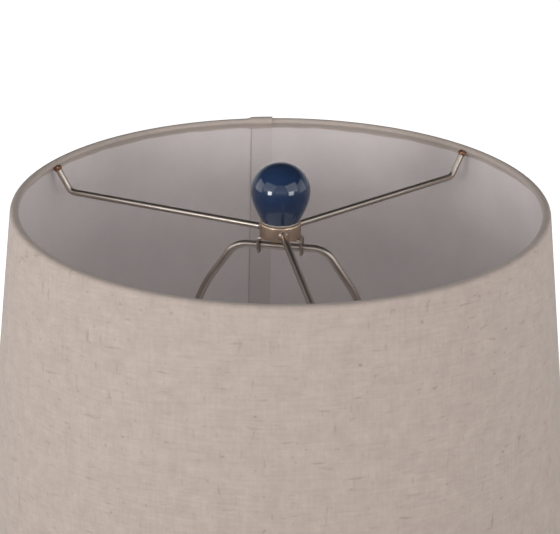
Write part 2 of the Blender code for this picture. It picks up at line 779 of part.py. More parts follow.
def bulb(m, seat):
    tip = seat + 0.0042
    cap_low, cap_high = tip + 0.0030, tip + 0.0260
    contact = [(0, tip), (0.0035, tip + 0.0006), (0.0045, cap_low - GAP), (0, cap_low - GAP)]
    button = turned("bulb_tip", contact, m["brass"], SMALL_STEPS)
    cone = [(0, cap_low), (0.0050, cap_low), (0.0098, cap_low + 0.003), (0, cap_low + 0.003)]
    insulator = turned("bulb_insulator", cone, m["black"], SMALL_STEPS)

    cap_r, wall = 0.0129, 0.0006
    shell_low = cap_low + 0.0030 + GAP
    shell = [
        (0.0096, shell_low),
        (cap_r, shell_low + 0.0030),
        (cap_r, cap_high),
        (cap_r - wall, cap_high),
        (cap_r - wall, shell_low + 0.0035),
        (0.0090, shell_low + wall),
        (0.0030, shell_low + wall),
        (0.0030, shell_low),
    ]
    cap = turned("bulb_cap", shell, m["aluminium"], SMALL_STEPS)

    collar = cap_r - wall - GAP
    low = cap_high - 0.0060
    middle = tip + 0.0780
    skin = 0.0010
    globe = arc((0, middle), BULB_RADIUS, -20, 90, 6)
    stem = (0.0145, cap_high + 0.005), (0.0165, middle - 0.033)
    flare = bezier(*stem, (0.0252, middle - 0.024), globe[0], 3)
    outer = [
        (collar, low),
        (collar, cap_high + GAP),
        (0.0140, cap_high + 0.0015),
        *flare[:-1],
        *globe[:-1],
        (0, middle + BULB_RADIUS),
    ]
    vault = arc((0, middle), BULB_RADIUS - skin, 90, -20, 4)
    narrow = (0.0154, middle - 0.0328), (0.0130, cap_high + 0.005)
    throat = bezier(vault[-1], (0.0240, middle - 0.0238), *narrow, 2)
    inner = [
        (0, middle + BULB_RADIUS - skin),
        *vault[1:],
        *throat[1:],
        (collar - skin, cap_high),
        (collar - skin, low),
    ]
    glass = turned("bulb_glass", inner + outer, m["opal"])
    return [button, insulator, cap, glass]


def finishes():
    return {
        "linen": finish("linen", (0.60, 0.51, 0.43), 0.90),
        "lining": finish("lining", (0.68, 0.66, 0.64), 0.60),
        "glaze": finish("glaze", (0.012, 0.045, 0.115), 0.12),
        "nickel": finish("nickel", (0.60, 0.55, 0.49), 0.28, 1.0),
        "brass": finish("brass", (0.72, 0.52, 0.24), 0.35, 1.0),
        "steel": finish("steel", (0.50, 0.50, 0.50), 0.45, 1.0),
        "aluminium": finish("aluminium", (0.75, 0.75, 0.76), 0.30, 1.0),
        "iron": finish("iron", (0.06, 0.06, 0.06), 0.70, 0.5),
        "felt": finish("felt", (0.03, 0.03, 0.035), 0.95),
        "cork": finish("cork", (0.45, 0.30, 0.17), 0.90),
        "black": finish("black", (0.02, 0.02, 0.02), 0.45),
        "phenolic": finish("phenolic", (0.05, 0.04, 0.035), 0.40),
        "card": finish("card", (0.25, 0.20, 0.15), 0.85),
        "opal": finish("opal", (0.90, 0.90, 0.87), 0.35),
    }


def main():
    clear_scene()
    m = finishes()
    foot(m)
    body(m)
    neck(m)
    lower_saddle(m)
    seat = socket(m)
    switch_pieces = switch(m)
    bulb_pieces = bulb(m, seat)
    bow, ferrules = harp(m)
    saddle, stud = swivel(m)
    shade = shade_walls(m) + shade_rings(m) + shade_trims(m) + spider(m)

    pivot("switch_axis", (0, 0, KNOB_Z), switch_pieces)
    pivot("bulb_axis", (0, 0, seat), bulb_pieces)
    harp_pivot = pivot("harp_lift", (0, 0, LEG_FOOT), [bow])
    for sleeve in ferrules:
        pivot(sleeve.name + "_slide", (sleeve.location.x, 0, LEG_FOOT), [sleeve], harp_pivot)
    swivel_pivot = pivot("swivel_axis", (0, 0, WIRE_Z), [saddle], harp_pivot)
    stud_pivot = pivot("stud_axis", (0, 0, SWIVEL_TOP), [stud], swivel_pivot)
    shade_pivot = pivot("shade_lift", (0, 0, HUB_BOTTOM), shade, stud_pivot)
    pivot("finial_axis", (0, 0, FINIAL_BOTTOM), finial(m), shade_pivot)


main()
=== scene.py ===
import json
import math
import random

import bmesh
import bpy
import numpy as np
from mathutils import Matrix, Vector

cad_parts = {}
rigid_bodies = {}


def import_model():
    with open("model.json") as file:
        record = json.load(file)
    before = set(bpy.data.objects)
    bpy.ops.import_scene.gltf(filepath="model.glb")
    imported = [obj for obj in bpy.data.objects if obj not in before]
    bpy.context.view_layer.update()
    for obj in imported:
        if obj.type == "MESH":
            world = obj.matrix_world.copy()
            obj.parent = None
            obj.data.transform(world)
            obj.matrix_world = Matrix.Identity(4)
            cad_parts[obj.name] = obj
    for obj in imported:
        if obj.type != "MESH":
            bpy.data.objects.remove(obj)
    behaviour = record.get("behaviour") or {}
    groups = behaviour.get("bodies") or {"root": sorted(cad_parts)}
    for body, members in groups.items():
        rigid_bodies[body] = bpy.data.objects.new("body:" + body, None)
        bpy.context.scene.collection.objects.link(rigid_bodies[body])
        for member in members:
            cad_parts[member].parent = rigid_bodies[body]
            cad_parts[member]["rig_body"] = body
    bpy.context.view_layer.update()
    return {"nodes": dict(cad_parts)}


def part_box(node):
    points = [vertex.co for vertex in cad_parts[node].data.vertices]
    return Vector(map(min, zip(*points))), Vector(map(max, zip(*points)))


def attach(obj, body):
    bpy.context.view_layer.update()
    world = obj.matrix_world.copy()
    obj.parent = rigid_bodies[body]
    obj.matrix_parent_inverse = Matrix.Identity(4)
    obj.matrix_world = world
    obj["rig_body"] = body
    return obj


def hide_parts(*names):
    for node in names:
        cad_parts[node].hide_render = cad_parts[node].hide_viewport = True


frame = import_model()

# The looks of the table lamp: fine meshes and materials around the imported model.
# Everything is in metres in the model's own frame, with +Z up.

TURN = 2 * math.pi


def size_of(node):
    """(width along X, lowest Z, highest Z) of a node."""
    low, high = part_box(node)
    return high.x - low.x, low.z, high.z


# Sizes read from the frame, and the few that the frame doesn't hold -----------------
RIM_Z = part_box("top_trim")[1].z
HEM_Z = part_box("bottom_trim")[0].z
RIM_RADIUS = size_of("top_trim")[0] / 2
HEM_RADIUS = size_of("bottom_trim")[0] / 2
TRIM_WIDTH = RIM_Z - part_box("top_trim")[0].z
HEM = TRIM_WIDTH * 1.22  # how far the turned-in linen goes down inside
CLOTH = 0.0005  # thickness of the linen, and of the lining behind it
LAP_ANGLE = math.radians(105)  # where the shade's sheet overlaps itself
LAP_SWEEP = 0.0154 / RIM_RADIUS
HEIGHT = RIM_Z - HEM_Z
SLANT = math.hypot(HEIGHT, HEM_RADIUS - RIM_RADIUS)
SPREAD = (HEM_RADIUS - RIM_RADIUS) / SLANT  # turn of the flat pattern for a turn of the shade
APEX = RIM_RADIUS / SPREAD  # from the cone's point down to the rim, along the wall
LAP_START = LAP_ANGLE - LAP_SWEEP / 2
LEAN = (HEM_RADIUS - RIM_RADIUS) / HEIGHT  # growth of the wall's radius on the way down
RING_WIRE = 0.0015  # radius of a ring's wire
RING_IN = 0.0031  # depth of the wire's centre behind the linen's face
RING_DOWN = 0.0023  # and how far it is from the shade's edge
ARM_ANGLES = [math.radians(48.3 + 120 * k) for k in range(3)]
ARM_WIRE = 0.0021  # radius of an arm
HARP_WIRE = (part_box("harp_bow")[1].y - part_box("harp_bow")[0].y) / 2
SADDLE_SHEET = 0.0015  # thickness of both of the harp's saddles
ON_AXIS = 1e-6  # a smaller radius than this is on the axis
WALL_STEPS = 24  # rows of points from the rim to the hem
SHEET_ANGLES = np.linspace(LAP_START, LAP_START + TURN + LAP_SWEEP, 480)
VIEW = 10  # bearing of the camera from -Y towards +X, in degrees


# Camera -----------------------------------------------------------------------------
def place_camera():
    """In front of the shade and above it, a little to the right of square-on to the harp."""
    bearing = math.radians(VIEW)
    elevation = math.radians(20.12)  # seen from the middle of the rim
    distance = 5.016 * RIM_RADIUS
    tilt, roll = math.radians(3.105), math.radians(0.53)  # aim below the rim's middle
    data = bpy.data.cameras.new("camera")
    data.sensor_width = 36.0
    data.lens = 85.7
    camera = bpy.data.objects.new("camera", data)
    bpy.context.scene.collection.objects.link(camera)
    level = distance * math.cos(elevation)
    spot = Vector((0, -level, RIM_Z + distance * math.sin(elevation)))
    facing = Matrix.Rotation(math.pi / 2 - elevation, 4, "X")
    aim = Matrix.Rotation(-tilt, 4, "X") @ Matrix.Rotation(roll, 4, "Z")
    turn = Matrix.Rotation(bearing, 4, "Z")
    camera.matrix_world = turn @ Matrix.Translation(spot) @ facing @ aim
    bpy.context.scene.camera = camera


# Mesh helpers -----------------------------------------------------------------------
def add_object(name, mesh, material):
    obj = bpy.data.objects.new(name, mesh)
    mesh.materials.append(material)
    bpy.context.scene.collection.objects.link(obj)
    return obj


def skin(name, rings, material, loop=True, closed=False, cap=True, flat=None, sharp=40):
    """A mesh through rings of points. Loop closes each ring, closed joins the last ring to
    the first, and cap fills the two ends. Its UV map "cloth" is in metres: along the rings'
    path and around them, or flat(ring, point) where that is given."""
    count, around = len(rings), len(rings[0])
    points = np.array([[tuple(p) for p in ring] for ring in rings])
    along = np.zeros(count + 1)
    centre = points.mean(axis=1)
    reach = np.linalg.norm(np.diff(points[:, 0], axis=0), axis=1)
    shift = np.linalg.norm(np.diff(centre, axis=0), axis=1)
    along[1:count] = np.cumsum(np.maximum(reach, shift))
    along[count] = along[count - 1] + np.linalg.norm(points[0, 0] - points[-1, 0])
    middle = points[count // 2]
    girth = np.r_[0, np.cumsum(np.linalg.norm(np.roll(middle, -1, axis=0) - middle, axis=1))]
    faces, uvs = [], []
    for i in range(count if closed else count - 1):
        for j in range(around if loop else around - 1):
            corners = [(i, j), (i, j + 1), (i + 1, j + 1), (i + 1, j)]
            faces.append([(a % count) * around + b % around for a, b in corners])
            uvs += [flat(a, b) if flat else (along[a], girth[b]) for a, b in corners]
    mesh = bpy.data.meshes.new(name)
    ends = []
    if cap and not closed and loop:
        ends = [list(range(around))[::-1], [(count - 1) * around + j for j in range(around)]]
        uvs += [(0, girth[j]) for j in ends[0]]
        uvs += [(along[count - 1], girth[j]) for j in range(around)]
    mesh.from_pydata(points.reshape(-1, 3).tolist(), [], faces + ends)
    layer = mesh.uv_layers.new(name="cloth")
    layer.data.foreach_set("uv", np.array(uvs, dtype=np.float32).ravel())
    tidy(mesh, sharp)
    return add_object(name, mesh, material)


def tidy(mesh, sharp):
    """Merges what meets, turns the faces out and shades it smooth between real edges."""
    bm = bmesh.new()
    bm.from_mesh(mesh)
    bmesh.ops.remove_doubles(bm, verts=bm.verts, dist=1e-6)
    bmesh.ops.dissolve_degenerate(bm, edges=bm.edges, dist=1e-7)
    bmesh.ops.recalc_face_normals(bm, faces=bm.faces)
    bm.to_mesh(mesh)
    bm.free()
    mesh.shade_smooth()
    mesh.set_sharp_from_angle(angle=math.radians(sharp))


def eased(points, radius, closed=True, bend=24, steps=4):
    """An outline with its gentle corners smoothed as a curve and its real ones rounded."""
    points = [Vector(p) for p in points]
    count = len(points)
    tiny = 1e-9

    def at(k):
        return points[k % count] if closed else points[min(max(k, 0), count - 1)]

    def corner(k):
        before, after = at(k) - at(k - 1), at(k + 1) - at(k)
        if before.length < tiny or after.length < tiny:
            return True
        return before.angle(after) > math.radians(bend)

    found = []
    for k in range(count):
        here = points[k]
        if corner(k):
            edge = not closed and k in (0, count - 1)
            into, out = at(k - 1) - here, at(k + 1) - here
            if edge or into.length < tiny or out.length < tiny:
                found.append(here)
            else:
                cut = min(radius, 0.45 * into.length, 0.45 * out.length)
                start, end = here + into.normalized() * cut, here + out.normalized() * cut
                for s in range(steps + 1):
                    t = s / steps
                    found.append(start * (1 - t) ** 2 + here * 2 * t * (1 - t) + end * t * t)
        else:
            found.append(here)
        if (closed or k < count - 1) and not (corner(k) and corner(k + 1)):
            p0, p1, p2, p3 = at(k - 1), here, at(k + 1), at(k + 2)
            p0 = p1 * 2 - p2 if corner(k) else p0
            p3 = p2 * 2 - p1 if corner(k + 1) else p3
            for s in range(1, steps):
                t = s / steps
                found.append(
                    0.5
                    * (
                        2 * p1
                        + (p2 - p0) * t
                        + (2 * p0 - 5 * p1 + 4 * p2 - p3) * t * t
                        + (3 * p1 - p0 - 3 * p2 + p3) * t**3
                    )
                )
    return found


# Turn about X that brings the Z axis to each facing.
FACINGS = {"Z": 0.0, "-Y": math.pi / 2, "Y": -math.pi / 2}


def turned(name, outline, ease, material, steps=96, about=(0, 0, 0), facing="Z", bend=24):
    """A solid turned about an axis from (radius, distance) points along it, with its corners
    rounded by ease. Those that turn by less than bend degrees are smoothed as a curve."""
    closed = outline[0][0] > ON_AXIS or outline[-1][0] > ON_AXIS
    smooth = [tuple(p) for p in eased(outline, ease, closed=closed, bend=bend)]
    rings = []
    for k in range(steps):
        angle = TURN * k / steps
        rings.append([(r * math.cos(angle), r * math.sin(angle), h) for r, h in smooth])
    obj = skin(name, rings, material, loop=closed, closed=True, sharp=50)
    obj.data.transform(Matrix.Translation(about) @ Matrix.Rotation(FACINGS[facing], 4, "X"))
    return obj


def outline_of(node, about=(0, 0, 0), facing="Z"):
    """(radius, distance) points of a turned CAD node's outline, in order round it."""
    near, weld = 3e-6, 2e-6
    upright = Matrix.Rotation(-FACINGS[facing], 4, "X") @ Matrix.Translation(about).inverted()
    bm = bmesh.new()
    bm.from_mesh(frame["nodes"][node].data)
    bmesh.ops.transform(bm, verts=bm.verts, matrix=upright)
    bmesh.ops.remove_doubles(bm, verts=bm.verts, dist=weld)
    geom = bm.verts[:] + bm.edges[:] + bm.faces[:]
    bmesh.ops.bisect_plane(bm, geom=geom, dist=weld, plane_co=(0, 0, 0), plane_no=(0, 1, 0))
    on = {v for v in bm.verts if abs(v.co.y) < near and v.co.x > -near}
    links = {}
    for edge in bm.edges:
        if all(v in on for v in edge.verts) and max(v.co.x for v in edge.verts) > near:
            for v in edge.verts:
                links.setdefault(v, []).append(edge.other_vert(v))
    ends = [v for v in links if v.co.x < near]
    chain = [min(ends or links, key=lambda v: (v.co.z, v.co.x))]
    while True:
        ahead = [v for v in links[chain[-1]] if v not in chain]
        if not ahead:
            break
        chain.append(ahead[0])
    points = [Vector((max(v.co.x, 0.0), v.co.z)) for v in chain]
    bm.free()
    count, kept = len(points), []
    straight = math.radians(0.6)
    for k, here in enumerate(points):
        at_end = ends and k in (0, count - 1)
        into, out = here - points[k - 1], points[(k + 1) % count] - here
        if at_end or into.angle(out, 0) > straight:
            kept.append((0.0 if at_end else here.x, here.y))
    return kept


def returned(node, material, ease=0.0004, steps=96, about=(0, 0, 0), facing="Z", bend=24):
    """A turned CAD node made again as a fine, rounded solid."""
    outline = outline_of(node, about, facing)
    obj = turned(node + "_fine", outline, ease, material, steps, about, facing, bend)
    return stand_in(obj, node)


def stand_in(obj, *nodes):
    """obj rides on its first node's body, and takes the place of all of them."""
    body = frame["nodes"][nodes[0]]["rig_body"]
    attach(obj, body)
    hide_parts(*nodes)
    return obj


def extra(obj, body):
    """obj is a detail of the object that no CAD node has to itself."""
    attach(obj, body)
    return obj


def tube(name, path, radius, material, sides, closed=False):
    """Round wire along a path. Unless it closes on itself, its ends are slightly rounded."""
    path = [Vector(p) for p in path]
    count = len(path)
    tangents = []
    for k in range(count):
        before = path[k - 1] if k or closed else path[0]
        after = path[(k + 1) % count] if k < count - 1 or closed else path[-1]
        tangents.append((after - before).normalized())
    normal = tangents[0].orthogonal().normalized()
    rings = []
    for k in range(count):
        normal = (normal - tangents[k] * normal.dot(tangents[k])).normalized()
        binormal = tangents[k].cross(normal)
        rings.append((path[k], normal.copy(), binormal, tangents[k], radius))
    if not closed:
        ease = radius * 0.35
        first, last = rings[0], rings[-1]
        rings[0] = (first[0] + first[3] * ease, *first[1:])
        rings[-1] = (last[0] - last[3] * ease, *last[1:])
        for t in (0.35, 0.75, 1.0):
            pulled = radius - ease * (1 - math.sqrt(1 - t * t))
            rings.insert(0, (first[0] + first[3] * ease * (1 - t), *first[1:4], pulled))
            rings.append((last[0] - last[3] * ease * (1 - t), *last[1:4], pulled))
    sweep = [
        [
            spot + (a * math.cos(TURN * j / sides) + b * math.sin(TURN * j / sides)) * r
            for j in range(sides)
        ]
        for spot, a, b, _, r in rings
    ]
    return skin(name, sweep, material, closed=closed)


def bezier(a, b, c, d, count):
    """Points of a cubic curve from a to d, both included."""
    a, b, c, d = (Vector(p) for p in (a, b, c, d))
    found = []
    for k in range(count + 1):
        t = k / count
        early, late = b * 3 * t * (1 - t) ** 2, c * 3 * t * t * (1 - t)
        found.append(a * (1 - t) ** 3 + early + late + d * t**3)
    return found


def arc(centre, radius, begin, end, count):
    """Points of an arc in a plane, from one angle to another in degrees."""
    x, y = centre
    angles = [math.radians(begin + (end - begin) * k / count) for k in range(count + 1)]
    return [Vector((x + radius * math.cos(a), y + radius * math.sin(a))) for a in angles]


# Material helpers -------------------------------------------------------------------
class Graph:
    """The node tree of one material."""

    def __init__(self, name):
        self.material = bpy.data.materials.new(name)
        self.material.use_nodes = True
        self.tree = self.material.node_tree
        self.shader = self.tree.nodes["Principled BSDF"]

    def node(self, kind, settings=None, **inputs):
        """A node with its settings, and its inputs as values or as other nodes' sockets."""
        made = self.tree.nodes.new("ShaderNode" + kind)
        for key, value in (settings or {}).items():
            setattr(made, key, value)
        for key, value in inputs.items():
            spot = int(key[1:]) if key[1:].isdigit() else key.replace("_", " ")
            self.feed(made.inputs[spot], value)
        return made.outputs[0]

    def feed(self, socket, value):
        if isinstance(value, bpy.types.NodeSocket):
            self.tree.links.new(value, socket)
        else:
            socket.default_value = value

    def set(self, **inputs):
        for key, value in inputs.items():
            self.feed(self.shader.inputs[key.replace("_", " ")], value)

    def math(self, operation, a, b=0.0, c=0.0):
        return self.node("Math", {"operation": operation}, i0=a, i1=b, i2=c)

    def measure(self, operation, a, b=(0, 0, 0)):
        """The single value of a vector sum, such as a length or a dot product."""
        return self.node("VectorMath", {"operation": operation}, i0=a, i1=b).node.outputs["Value"]

    def axes(self, source):
        """The X, Y and Z of a vector."""
        made = self.tree.nodes.new("ShaderNodeSeparateXYZ")
        self.feed(made.inputs[0], source)
        return made.outputs

    def smooth_step(self, value, low, high):
        """0 where value is below low and 1 above high, smooth between."""
        settings = {"interpolation_type": "SMOOTHSTEP"}
        return self.node("MapRange", settings, Value=value, From_Min=low, From_Max=high)

    def noise(self, source, scale, place=(0, 0, 0), detail=2.0, rough=0.5):
        """Noise with its own size along each axis: scale is features per metre."""
        spot = self.node("Mapping", None, Vector=source, Scale=scale, Location=place)
        return self.node("TexNoise", None, Vector=spot, Scale=1.0, Detail=detail, Roughness=rough)

    def ramp(self, factor, *stops):
        """A value from (position, value) stops."""
        made = self.tree.nodes.new("ShaderNodeValToRGB")
        band = made.color_ramp.elements
        while len(band) < len(stops):
            band.new(1.0)
        for element, (place, value) in zip(band, stops):
            element.position = place
            element.color = value if isinstance(value, tuple) else (value, value, value, 1.0)
        self.feed(made.inputs[0], factor)
        return made.outputs[0]

    def mix(self, factor, a, b):
        """Colour a where factor is 0 and b where it is 1."""
        made = self.tree.nodes.new("ShaderNodeMix")
        made.data_type = "RGBA"
        self.feed(made.inputs[0], factor)
        self.feed(made.inputs[6], a)
        self.feed(made.inputs[7], b)
        return made.outputs[2]

    def cloth(self):
        return self.node("UVMap", {"uv_map": "cloth"})

    def place(self):
        return self.tree.nodes.new("ShaderNodeTexCoord").outputs["Object"]

    def bump(self, height, depth, strength):
        made = self.tree.nodes.new("ShaderNodeBump")
        made.inputs["Strength"].default_value = strength
        made.inputs["Distance"].default_value = depth
        self.feed(made.inputs["Height"], height)
        self.feed(self.shader.inputs["Normal"], made.outputs[0])


def rgb(r, g, b):
    return (r, g, b, 1.0)


# Materials --------------------------------------------------------------------------
LINEN_LIGHT = (0.432, 0.361, 0.320)
LINEN_DARK = (0.246, 0.200, 0.173)


def linen_material():
    """Plain linen: fine threads both ways, cloudy tone, soft slubs and a few dark flecks."""
    g = Graph("linen_weave")
    cloth = g.cloth()
    thread, stray = 0.00052, 0.0011  # spacing of the threads, and how far they wander
    wander = g.noise(cloth, (160, 160, 1), (3, 1, 0), detail=2).node.outputs["Color"]
    shift = g.node("VectorMath", {"operation": "SCALE"}, i0=wander, Scale=stray)
    axes = g.axes(g.node("VectorMath", {"operation": "ADD"}, i0=cloth, i1=shift))
    warp = g.math("SINE", g.math("MULTIPLY", axes[0], math.pi / thread))
    weft = g.math("SINE", g.math("MULTIPLY", axes[1], math.pi / thread))
    over = g.math("MULTIPLY", warp, weft)
    across = g.noise(cloth, (58, 620, 1), (0, 5, 0), detail=2, rough=0.6)
    upright = g.noise(cloth, (620, 58, 1), (7, 0, 0), detail=2, rough=0.6)
    cloudy = g.noise(cloth, (80, 80, 1), (2, 9, 0), detail=4, rough=0.75)
    tone = g.math("MULTIPLY_ADD", cloudy, 0.80, -0.055)
    tone = g.math("MULTIPLY_ADD", across, 0.40, tone)
    tone = g.math("MULTIPLY_ADD", upright, 0.32, tone)
    tone = g.math("MULTIPLY_ADD", over, 0.04, tone)
    flecks = (  # size, place, lowest noise that shows, and darkness
        ((60, 330, 1), (4, 2, 0), 0.645, 0.42),
        ((330, 66, 1), (1, 8, 0), 0.655, 0.38),
        ((230, 260, 1), (9, 6, 0), 0.665, 0.60),
    )
    for scale, place, low, depth in flecks:
        fleck = g.ramp(g.noise(cloth, scale, place, detail=2), (low, 0.0), (low + 0.11, 1.0))
        tone = g.math("MULTIPLY_ADD", fleck, -depth, tone)
    colour = g.mix(tone, rgb(*LINEN_DARK), rgb(*LINEN_LIGHT))
    # Inside the rim the linen is painted paler, painted light that lifts the turned-in band out of
    # the shade there, and its weave shows less.
    outside = g.smooth_step(g.measure("LENGTH", cloth), APEX - 0.002, APEX + 0.001)
    band = g.math("SUBTRACT", 1.0, outside)
    colour = g.mix(g.math("MULTIPLY", band, 0.5), colour, rgb(0.58, 0.50, 0.45))
    g.set(Base_Color=colour, Roughness=0.92, Sheen_Weight=0.12, Sheen_Roughness=0.5)
    g.shader.inputs["Specular IOR Level"].default_value = 0.25
    slubs = g.math("ADD", across, upright)
    g.bump(g.math("MULTIPLY_ADD", over, 0.30, slubs), 0.00012, 0.45)
    return g.material


def lining_material():
    """White styrene sheet: matt, with faint clouding where the linen is glued behind it, painted
    shade on the strip where it laps over itself, darker further down the wall, and a painted line
    of shadow at the lap's edge."""
    g = Graph("styrene_lining")
    cloth = g.cloth()
    cloud = g.noise(cloth, (30, 24, 1), (5, 5, 0), detail=4, rough=0.6)
    ghost = g.noise(cloth, (90, 900, 1), (1, 3, 0), detail=2)
    tone = g.math("ADD", g.math("MULTIPLY", cloud, 0.75), g.math("MULTIPLY", ghost, 0.25))
    dull, clean = rgb(0.604, 0.551, 0.543), rgb(0.652, 0.597, 0.589)
    colour = g.mix(g.ramp(tone, (0.35, 0.0), (0.65, 1.0)), dull, clean)
    axes = g.axes(cloth)
    turn = g.math("ARCTAN2", axes[0], g.math("MULTIPLY", axes[1], -1.0))
    down = g.math("SUBTRACT", g.measure("LENGTH", cloth), APEX)
    # Painted shade: the doubled lap is darkened, more towards the bottom of the wall.
    painted_lap_shade = g.math("MULTIPLY_ADD", g.smooth_step(down, 0.02, 0.15), 0.30, 0.22)
    lap_turn = (TURN - LAP_SWEEP) / 2 * SPREAD
    painted_lap_shade = g.math("MULTIPLY", g.math("GREATER_THAN", turn, lap_turn), painted_lap_shade)
    colour = g.mix(painted_lap_shade, colour, rgb(0.46, 0.41, 0.385))
    # Painted shadow: a dark line along the lap's raw edge.
    line = (TURN + LAP_SWEEP) / 2 * SPREAD * APEX - 0.0005
    edge = g.math("GREATER_THAN", g.math("MULTIPLY", turn, APEX), line)
    colour = g.mix(g.math("MULTIPLY", edge, 0.45), colour, rgb(0.20, 0.175, 0.165))
    g.set(Base_Color=colour, Roughness=g.ramp(cloud, (0.3, 0.52), (0.7, 0.66)))
    g.shader.inputs["Specular IOR Level"].default_value = 0.35
    g.bump(tone, 0.00008, 0.25)
    return g.material


def nickel_material(name="satin_nickel", tint=(0.50, 0.44, 0.39), streaks=(60, 2600, 1)):
    """Warm satin plating: drawn streaks along the metal and small rubbed patches."""
    g = Graph(name)
    cloth = g.cloth()
    streak = g.noise(cloth, streaks, (0, 2, 0), detail=3)
    wear = g.noise(g.place(), (140, 140, 140), (3, 0, 1), detail=4, rough=0.6)
    bright = tuple(min(1, c * 1.09) for c in tint)
    colour = g.mix(g.ramp(wear, (0.4, 0.0), (0.68, 1.0)), rgb(*tint), rgb(*bright))
    rough = g.math("ADD", g.math("MULTIPLY", streak, 0.18), g.math("MULTIPLY", wear, 0.14))
    g.set(Base_Color=colour, Metallic=1.0, Roughness=g.math("ADD", rough, 0.19))
    g.shader.inputs["Specular Tint"].default_value = rgb(0.60, 0.55, 0.51)
    g.bump(streak, 0.00002, 0.35)
    return g.material


def glaze_material(name, foot):
    """Dark blue glaze, glassy over a softly mottled colour, and bare below the foot's height."""
    g = Graph(name)
    place = g.place()
    pool = g.noise(place, (38, 38, 22), (1, 4, 2), detail=4, rough=0.55)
    speck = g.noise(place, (900, 900, 900), (2, 2, 2), detail=1)
    dark, light = rgb(0.0100, 0.0215, 0.056), rgb(0.0160, 0.0335, 0.081)
    colour = g.mix(g.ramp(pool, (0.36, 0.0), (0.66, 1.0)), dark, light)
    colour = g.mix(g.ramp(speck, (0.70, 0.0), (0.76, 0.5)), colour, rgb(0.026, 0.048, 0.100))
    waver = g.math("MULTIPLY", g.noise(place, (400, 400, 400)), 0.0004)
    edge = g.math("ADD", g.axes(place)[2], waver)
    glazed = g.smooth_step(edge, foot, foot + 0.0003)
    colour = g.mix(glazed, rgb(0.52, 0.48, 0.43), colour)
    g.set(Base_Color=colour, Roughness=g.ramp(glazed, (0.0, 0.8), (1.0, 0.2)))
    g.set(Coat_Weight=1.0, Coat_IOR=1.47, Coat_Roughness=0.03)
    g.shader.inputs["Specular IOR Level"].default_value = 0.05
    ripple = g.noise(place, (55, 55, 40), (6, 1, 0), detail=2)
    g.bump(ripple, 0.00025, 0.12)
    return g.material


def plain_material(name, low, high, roughness, metallic=0.0, grain=300, depth=0.0001):
    """A material whose tone, roughness and surface all follow one grain."""
    g = Graph(name)
    spot = g.noise(g.place(), (grain, grain, grain), (1, 2, 3), detail=5, rough=0.6)
    colour = g.mix(g.ramp(spot, (0.32, 0.0), (0.68, 1.0)), rgb(*low), rgb(*high))
    rough = g.ramp(spot, (0.3, roughness[0]), (0.7, roughness[1]))
    g.set(Base_Color=colour, Metallic=metallic, Roughness=rough)
    g.bump(spot, depth, 0.5)
    return g.material


def braze_material():
    """A brazed joint: copper-coloured metal with heat colours and dark flux."""
    g = Graph("brazed_copper")
    spot = g.noise(g.place(), (900, 900, 900), (4, 4, 1), detail=4, rough=0.7)
    dark, warm, pale = rgb(0.035, 0.018, 0.010), rgb(0.24, 0.11, 0.055), rgb(0.55, 0.36, 0.24)
    colour = g.mix(g.ramp(spot, (0.36, 0.0), (0.50, 1.0)), dark, warm)
    colour = g.mix(g.ramp(spot, (0.54, 0.0), (0.66, 1.0)), colour, pale)
    g.set(Base_Color=colour, Metallic=0.75, Roughness=g.ramp(spot, (0.35, 0.65), (0.65, 0.3)))
    g.bump(spot, 0.0002, 0.8)
    return g.material


def bulb_material():
    """Glass frosted white from inside."""
    g = Graph("opal_glass")
    haze = g.noise(g.place(), (60, 60, 60), (0, 0, 5), detail=3)
    dull, clear = rgb(0.80, 0.80, 0.78), rgb(0.87, 0.87, 0.85)
    colour = g.mix(g.ramp(haze, (0.35, 0.0), (0.65, 1.0)), dull, clear)
    g.set(Base_Color=colour, Roughness=g.ramp(haze, (0.3, 0.30), (0.7, 0.42)))
    g.set(Coat_Weight=0.6, Coat_Roughness=0.05)
    return g.material


# Name, darkest and lightest colour, and roughness there, then metallic, grain and depth.
PLAIN = {
    "brass": ("plain_brass", (0.60, 0.43, 0.20), (0.76, 0.57, 0.29), (0.42, 0.24), 1.0),
    "steel": ("zinc_plate", (0.42, 0.42, 0.41), (0.60, 0.60, 0.58), (0.50, 0.32), 1.0),
    "aluminium": ("bright_aluminium", (0.70, 0.70, 0.71), (0.82, 0.82, 0.83), (0.38, 0.24), 1.0),
    "iron": ("rough_iron", (0.03,) * 3, (0.09, 0.085, 0.08), (0.85, 0.6), 0.4, 300, 0.0005),
    "felt": (
        "pressed_felt", (0.022, 0.022, 0.026), (0.055, 0.055, 0.062), (1.0, 0.9),
        0.0, 1400, 0.0006,
    ),
    "cork": (
        "pressed_cork", (0.30, 0.18, 0.09), (0.55, 0.38, 0.22), (0.95, 0.8),
        0.0, 700, 0.0005,
    ),
    "rubber": ("black_rubber", (0.014,) * 3, (0.030, 0.030, 0.031), (0.75, 0.55)),
    "phenolic": ("dark_phenolic", (0.022, 0.015, 0.011), (0.045, 0.032, 0.025), (0.42, 0.25)),
    "card": ("insulating_card", (0.20, 0.15, 0.10), (0.30, 0.24, 0.17), (0.95, 0.8)),
}


def make_materials():
    made = {
        "linen": linen_material(),
        "lining": lining_material(),
        "nickel": nickel_material(),
        "wire": nickel_material("drawn_nickel", (0.455, 0.40, 0.355), (25, 3600, 1)),
        "hub": nickel_material("warm_nickel", (0.60, 0.46, 0.355)),
        "glaze": glaze_material("body_glaze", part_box("ceramic_body")[0].z + 0.0008),
        "finial_glaze": glaze_material("finial_glaze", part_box("finial_knob")[0].z + 0.0006),
        "braze": braze_material(),
        "opal": bulb_material(),
    }
    made.update({key: plain_material(*values) for key, values in PLAIN.items()})
    return made


